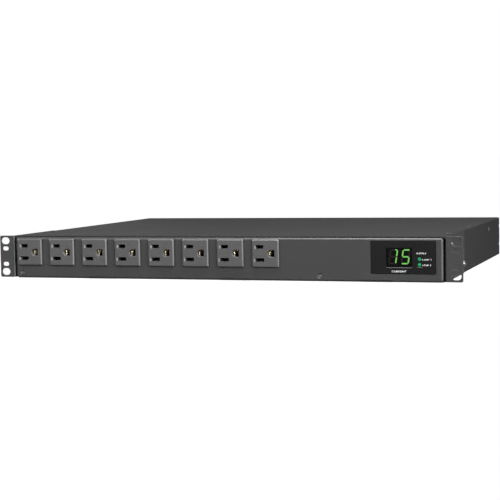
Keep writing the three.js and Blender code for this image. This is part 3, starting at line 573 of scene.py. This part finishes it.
# ------------------------------------------------------------------ outlets
def outlet_master():
    """Drawn about its own middle, with y measured behind the panel's face."""
    F, BD = 13.6, 12.5
    def ring(inset, y, r):
        return [(a, y, b) for a, b in rrect(-F + inset, F - inset, -F + inset, F - inset, r, 5)]
    rings = [ring(0, -0.3, 0.9), ring(0, -1.3, 0.9), ring(0.05, -1.42, 0.9), ring(0.14, -1.53, 0.92), ring(0.84, -2.24, 0.95), ring(0.95, -2.34, 1.0), ring(1.08, -2.4, 1.0)]
    o = make("outlet", (add_loft, rings))
    body = [(a, b) for a, b in rrect(-BD, BD, -BD, BD, 0.6, 3)]
    unite(o, (add_prism, body, "y", -0.7, 18))
    for s in (-1, 1):
        unite(o, (add_prism, [(s * (BD - 0.5), 1.6), (s * (BD + 0.9), 1.6), (s * (BD - 0.5), 6.5)], "z", -5, 5))
    sx, gx, dz = -5.8, 6.1, 6.35
    def blade(bm, half, z):
        # lead-in: a long slope at the left end, short ones on the other sides
        rings = []
        for y, l, r, h in ((-2.9, 1.84, 0.35, 2.0), (-2.4, 1.3, 0.25, 1.85), (-1.9, 0.76, 0.0, 1.7), (-1.2, 0.0, 0.0, 1.66), (2.0, 0, 0, 1.66)):
            rings.append([(a, y, b) for a, b in rrect(sx - half - l, sx + half + r, z - h, z + h, 0.3, 2)])
        add_loft(bm, rings)
    cut(o, (blade, 3.8, dz), (blade, 4.6, -dz))
    def arch(bm):
        rings = []
        for y, g in ((-2.9, 0.95), (-2.4, 0.62), (-1.6, 0.0), (2.0, 0.0)):
            k = g * 0.4
            pts = [(gx + 3.0 + k, -3.3 - g), (gx + 3.0 + k, 3.3 + k)] + [(x_, z_ + (k - g) * max(0.0, math.sin(math.radians(90 - 180 * (3.3 + g - z_) / (2 * (3.3 + g)))))) for x_, z_ in arc(gx, 0, 3.3 + g, 90, 270, 18)]
            rings.append([(a, y, b) for a, b in pts])
        add_loft(bm, rings)
    cut(o, (arch,))
    slits = [(add_box, sx - w - 0.3, sx + w + 0.3, 16, 19, z + lo_, z + hi_) for w, z in ((3.0, dz), (3.4, -dz)) for lo_, hi_ in ((-1.8, -0.65), (0.65, 1.8))]
    cut(o, (add_box, sx - 4.6, sx + 4.6, -1.0, 16.5, dz - 2.4, dz + 2.4),
        (add_box, sx - 5.2, sx + 5.2, -1.0, 16.5, -dz - 2.4, -dz + 2.4),
        (add_box, gx - 4.3, gx + 4.2, 1.2, 19, -3.9, 4.2))
    cut(o, *slits)
    soften(o, 0.09, 2, 34)
    return o

master = outlet_master()
for i, b in enumerate(OUTLETS):
    o = bpy.data.objects.new(f"outlet_{i + 1}_moulding", master.data.copy())
    bpy.context.scene.collection.objects.link(o)
    o.data.transform(Matrix.Translation((b.cx, YF, b.cz)))
    done(o, "chassis", f"outlet_{i + 1}", M_OUTLET)
bpy.data.objects.remove(master)

# ------------------------------------------------------------------ ground bus
GB = Box("ground_bus")
ZG = OUTLETS[0].cz
calls = [(add_prism, rrect(GB.x0, GB.x1, ZG - 2.0, ZG + 4.4, 0.3, 2), "y", GB.y1 - 1.0, GB.y1)]
for b in OUTLETS:
    gx = b.cx + 6.1
    c0 = (gx - 3.85, Y(4.6))
    leaf = arc(*c0, 1.45, -110, 28, 12) + [(gx - 2.9, Y(7.0)), (gx - 3.4, Y(7.0))] + arc(*c0, 0.95, 28, -110, 10)
    calls.append((add_prism, leaf, "z", ZG - 3.1, ZG + 2.0))
    calls.append((add_prism, [(gx + 2.5, Y(1.6)), (gx + 3.1, Y(1.6)), (gx + 3.1, Y(7.0)), (gx + 2.5, Y(7.0))], "z", ZG - 3.1, ZG + 2.0))
    for x0 in (gx - 3.5, gx + 2.5):
        calls.append((add_box, x0, x0 + 0.6, Y(5.0), GB.y1 - 0.3, ZG + 1.9, ZG + 3.8))
o = make("ground_bar", *calls)
done(o, "chassis", "ground_bus", M_BRASS, 0.08, 2, 40)

# ------------------------------------------------------------------ display
w = make("window_sheet", (add_prism, rrect(WIN.x0, WIN.x1, WIN.z0, WIN.z1, 0.5, 4), "y", WIN.y0, WIN.y1))
cut(w, (add_prism, rrect(DIG.x0 - 0.3, DIG.x1 + 0.3, DIG.z0 - 0.3, DIG.z1 + 0.3, 0.3, 2), "y", WIN.y0 - 1, WIN.y1 + 1),
    *[(add_lathe, [(0, 0), (1.8, 0), (1.8, 5), (0, 5)], (b.cx, WIN.y0 - 1, b.cz), (0, 1, 0), 32) for b in (LED1, LED2)])
done(w, "chassis", "display_window", M_WINDOW, 0.1, 2, 40)

def to_mesh_piece(o, name):
    bpy.context.view_layer.update()
    dg = bpy.context.evaluated_depsgraph_get()
    me = bpy.data.meshes.new_from_object(o.evaluated_get(dg))
    n = bpy.data.objects.new(name, me)
    bpy.context.scene.collection.objects.link(n)
    bpy.data.objects.remove(o)
    return n

def legend(name, text, x, z, width, height, mat, align="LEFT", thick=0.03):
    """Generic printed mark, standing 0.02 mm proud of the window."""
    cu = bpy.data.curves.new(name, "FONT")
    cu.body, cu.size, cu.extrude = text, 10, 0
    o = bpy.data.objects.new(name, cu)
    bpy.context.scene.collection.objects.link(o)
    n = to_mesh_piece(o, name)
    xs, ys = [v.co.x for v in n.data.vertices], [v.co.y for v in n.data.vertices]
    kx, ky = width / (max(xs) - min(xs)), height / (max(ys) - min(ys))
    ox = {"LEFT": x, "CENTER": x - width / 2}[align]
    bm = bmesh.new()
    bm.from_mesh(n.data)
    for v in bm.verts:
        v.co = Vector((ox + (v.co.x - min(xs)) * kx, WIN.y0 - 0.005, z - height / 2 + (v.co.y - min(ys)) * ky))
    r = bmesh.ops.extrude_face_region(bm, geom=bm.faces[:])
    for g in r["geom"]:
        if isinstance(g, bmesh.types.BMVert):
            g.co.y -= thick
    bmesh.ops.recalc_face_normals(bm, faces=bm.faces[:])
    bm.to_mesh(n.data)
    bm.free()
    n.data.transform(Matrix.Scale(0.001, 4))
    n.data.materials.clear()
    n.data.materials.append(mat)
    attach(n, "chassis")
    return n

cz = DIG.cz
legend("legend_unit", "CURRENT", DIG.cx, 10.3, 14.0, 1.7, M_PRINT, "CENTER")
legend("legend_input", "SUPPLY", LED1.cx - 2.6, 27.3, 9.4, 1.5, M_PRINT)
legend("legend_line_1", "LINE 1", LED1.cx + 3.0, LED1.cz - 0.4, 8.2, 1.35, M_PRINT)
legend("legend_line_2", "LINE 2", LED2.cx + 3.0, LED2.cz - 0.4, 8.2, 1.35, M_PRINT)
for name, x0, x1, z in (("rule_digits", DIG.x0, DIG.x1, 13.85), ("rule_lamps", LED2.cx - 2.2, LED2.cx + 2.6, 14.4)):
    o = make(name, (add_prism, rrect(x0, x1, z - 0.16, z + 0.16, 0.1, 2), "y", WIN.y0 - 0.03, WIN.y0 + 0.01))
    done(o, "chassis", None, M_PRINT_DIM)

d = make("digit_block", (add_prism, rrect(DIG.x0, DIG.x1, DIG.z0, DIG.z1, 0.2, 2), "y", DIG.y0, DIG.y1))
done(d, "chassis", "digit_module", M_DIGFACE, 0.12, 2, 40)

def segments(cx, cz_, lit, tag):
    """Seven slanted segments with mitred ends. Returns nothing; makes one piece for lit and one for unlit."""
    W, H, t, g, slant = 6.4, 12.8, 1.35, 0.2, math.tan(math.radians(8.5))
    h, w2 = H / 2, W / 2
    def bar(a, b):
        ax, az = a
        bx, bz = b
        L = math.hypot(bx - ax, bz - az)
        ux, uz = (bx - ax) / L, (bz - az) / L
        px, pz = -uz, ux
        k = t / 2
        pts = [(g, 0), (g + k, k), (L - g - k, k), (L - g, 0), (L - g - k, -k), (g + k, -k)]
        return [(ax + ux * s + px * q, az + uz * s + pz * q) for s, q in pts]
    ends = {"a": ((-w2, h), (w2, h)), "b": ((w2, h), (w2, 0)), "c": ((w2, 0), (w2, -h)), "d": ((-w2, -h), (w2, -h)),
            "e": ((-w2, 0), (-w2, -h)), "f": ((-w2, h), (-w2, 0)), "g": ((-w2, 0), (w2, 0))}
    for kind, names, mat in (("lit", [k for k in ends if k in lit], M_LIT), ("unlit", [k for k in ends if k not in lit], M_UNLIT)):
        if not names:
            continue
        calls = []
        for k in names:
            pts = [(cx + x + z * slant, cz_ + z) for x, z in bar(*ends[k])]
            calls.append((add_prism, pts, "y", DIG.y0 - 0.06, DIG.y0 + 0.05))
        if kind == "lit" and "a" not in lit:
            # short serif at the head of the figure one
            pts = [(w2 - 2.2, h + 0.5), (w2 - 0.5, h + 0.6), (w2 - 0.1, h + 0.1), (w2 - 0.7, h - 0.6), (w2 - 2.2, h - 0.3)]
            calls.append((add_prism, [(cx + x + z * slant, cz_ + z) for x, z in pts], "y", DIG.y0 - 0.07, DIG.y0 + 0.05))
        o = make(f"{tag}_{kind}", *calls)
        done(o, "chassis", None, mat)

segments(DIG.cx - 5.6, DIG.cz + 0.65, "bc", "digit_tens")
segments(DIG.cx + 6.25, DIG.cz + 0.65, "acdfg", "digit_ones")

for n, b in (("led_primary", LED1), ("led_secondary", LED2)):
    prof = [(0, 0)] + [(1.5 * math.sin(math.radians(a)), 1.2 * (1 - math.cos(math.radians(a)))) for a in (15, 30, 45, 60, 75, 90)] + [(1.5, 8.0), (0, 8.0)]
    o = make(f"{n}_lens", (add_lathe, prof, (b.cx, b.y0, b.cz), (0, 1, 0), 32))
    done(o, "chassis", n, M_LED)

# ------------------------------------------------------------------ rear inlets
for n in ("primary", "secondary"):
    b = Box(f"inlet_{n}")
    pins = [Box(f"inlet_{n}_{p}_pin") for p in ("line", "neutral", "earth")]
    y1, z, x = b.y1, b.cz, b.cx
    def ring(inset, y, r=2.0):
        return [(a, y, c_) for a, c_ in rrect(b.x0 + inset, b.x1 - inset, b.z0 + inset, b.z1 - inset, max(0.3, r - inset), 6)]
    rings = [ring(0, y1 - 2.1), ring(0, y1 - 0.7)]
    for k in range(1, 5):
        a = math.pi / 2 * k / 4
        rings.append(ring(0.7 * (1 - math.cos(a)), y1 - 0.7 + 0.7 * math.sin(a)))
    o = make(f"inlet_{n}_housing", (add_loft, rings))
    unite(o, (add_prism, rrect(x - 13.5, x + 13.5, z - 10, z + 10, 0.8, 3), "y", b.y0, y1 - 1.7))
    def well(g):
        return [(x - 12.3 - g, z - 8.2 - g), (x + 12.3 + g, z - 8.2 - g), (x + 12.3 + g, z + 3.6), (x + 7.7, z + 8.2 + g), (x - 7.7, z + 8.2 + g), (x - 12.3 - g, z + 3.6)]
    bm = bmesh.new()
    add_loft(bm, [[(a, y, c_) for a, c_ in well(g)] for y, g in ((y1 - 19, 0), (y1 - 0.9, 0), (y1, 0.7), (y1 + 0.5, 1.1))])
    boolean(o, obj_of(bm, "well"))
    cut(o, *[(add_box, p_.cx - 1.35, p_.cx + 1.35, b.y0 - 1, y1 - 17, p_.z1 - 4.35, p_.z1 + 0.35) for p_ in pins])
    done(o, "chassis", f"inlet_{n}", M_BLACK, 0.15, 2, 38)

# ------------------------------------------------------------------ breaker
b = Box("breaker_body")
y_neck = b.y1
o = make("breaker_case", (add_prism, rrect(b.x0, b.x1, b.z0, b.z1, 1.0, 4), "y", b.y0, y_neck - 4.6))
prof = [(0, 0), (5.05, 0)]
h = 0.6
while h < 4.8:
    prof += [(5.2, h), (4.85, h + 0.3)]
    h += 0.6
prof += [(4.9, 5.0), (4.6, 5.1), (0, 5.1)]
BTN = Box("breaker_button")
unite(o, (add_lathe, prof, (BTN.cx, y_neck - 5.1, BTN.cz), (0, 1, 0), 40))
cut(o, (add_lathe, [(0, 0), (3.95, 0), (3.95, 16), (0, 16)], (BTN.cx, y_neck - 13.6, BTN.cz), (0, 1, 0), 36))
done(o, "chassis", "breaker_body", M_BLACK, 0.12, 2, 38)

b = Box("breaker_nut")
zc = BTN.cz
hexa = [(b.cx + 7.97 * math.cos(math.radians(60 * k)), zc + 7.97 * math.sin(math.radians(60 * k))) for k in range(6)]
o = make("breaker_hex_nut", (add_prism, hexa, "y", b.y0, b.y1))
bm = bmesh.new()
add_lathe(bm, [(0, -0.5), (7.1, -0.5), (7.1, 0.0), (8.05, 0.55), (8.05, b.y1 - b.y0 - 0.55), (7.1, b.y1 - b.y0), (7.1, b.y1 - b.y0 + 0.5), (0, b.y1 - b.y0 + 0.5)], (b.cx, b.y0, zc), (0, 1, 0), 48)
boolean(o, obj_of(bm, "nut_cone"), "INTERSECT")
cut(o, (add_lathe, [(0, 0), (5.95, 0), (5.5, 0.6), (5.5, 2.7), (5.95, 3.3), (0, 3.3)], (b.cx, b.y0 - 0.5, zc), (0, 1, 0), 40))
done(o, "chassis", "breaker_nut", M_NICKEL, 0.06, 2, 32)

b = Box("breaker_button")
L = b.y1 - b.y0
prof = [(0, 0), (3.4, 0), (3.5, 0.1), (3.5, L - 1.2)] + [(3.5 - 1.2 * (1 - math.cos(math.radians(a))), L - 1.2 + 1.2 * math.sin(math.radians(a))) for a in (20, 40, 60, 80)] + [(2.0, L), (0, L)]
o = make("reset_button_cap", (add_lathe, prof, (b.cx, b.y0, b.cz), (0, 1, 0), 40))
# shallow dish in the end, for a fingertip
cut(o, (add_lathe, [(0, 0), (0.9, 0.02), (1.7, 0.14), (2.05, 0.4), (2.05, 1.0), (0, 1.0)], (b.cx, b.y1 - 0.35, b.cz), (0, 1, 0), 40))
done(o, "reset_button", "breaker_button", M_WHITE, 0.06, 2, 40)

# ------------------------------------------------------------------ CAD nodes that keep their own shape
KEEP = {
    # hot_bus and neutral_bus take the contact finish darkened as painted shade
    "base_tray": (M_TRAY, 0.15), "hot_bus": (M_CONTACT_PAINTED_SHADE, 0.08), "neutral_bus": (M_CONTACT_PAINTED_SHADE, 0.08), 
    "display_board": (M_BOARD, 0.1), "main_board": (M_BOARD, 0.1), "transformer": (M_LAM, 0.3), "capacitor": (M_CAN, 0.2),
    "current_sensor": (M_FERRITE, 0.3), "hot_lead": (M_WIRE_BLACK, 0), "neutral_lead": (M_WIRE_WHITE, 0), "ground_lead": (M_WIRE_GREEN, 0),
    "display_ribbon": (M_RIBBON, 0.1),
}
for n in ("primary", "secondary"):
    KEEP[f"relay_{n}_frame"] = (M_BLACK, 0.2)
    KEEP[f"relay_{n}_coil"] = (M_COPPER, 0.15)
    KEEP[f"relay_{n}_armature"] = (M_STEEL, 0.1)
    for pn in ("line", "neutral", "earth"):
        KEEP[f"inlet_{n}_{pn}_pin"] = (M_NICKEL, 0.25)
for name, (mat, width) in KEEP.items():
    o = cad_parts[name]
    o.data.materials.clear()
    o.data.materials.append(mat)
    for poly_ in o.data.polygons:
        poly_.use_smooth = width == 0
    wd = o.modifiers.new("weld", "WELD")
    wd.merge_threshold = 1e-6
    if width:
        dc = o.modifiers.new("flat", "DECIMATE")
        dc.decimate_type, dc.angle_limit = "DISSOLVE", math.radians(0.5)
        bv = o.modifiers.new("edges", "BEVEL")
        bv.width, bv.segments, bv.limit_method, bv.angle_limit = width / 1000, 2, "ANGLE", math.radians(40)
        bv.harden_normals = False
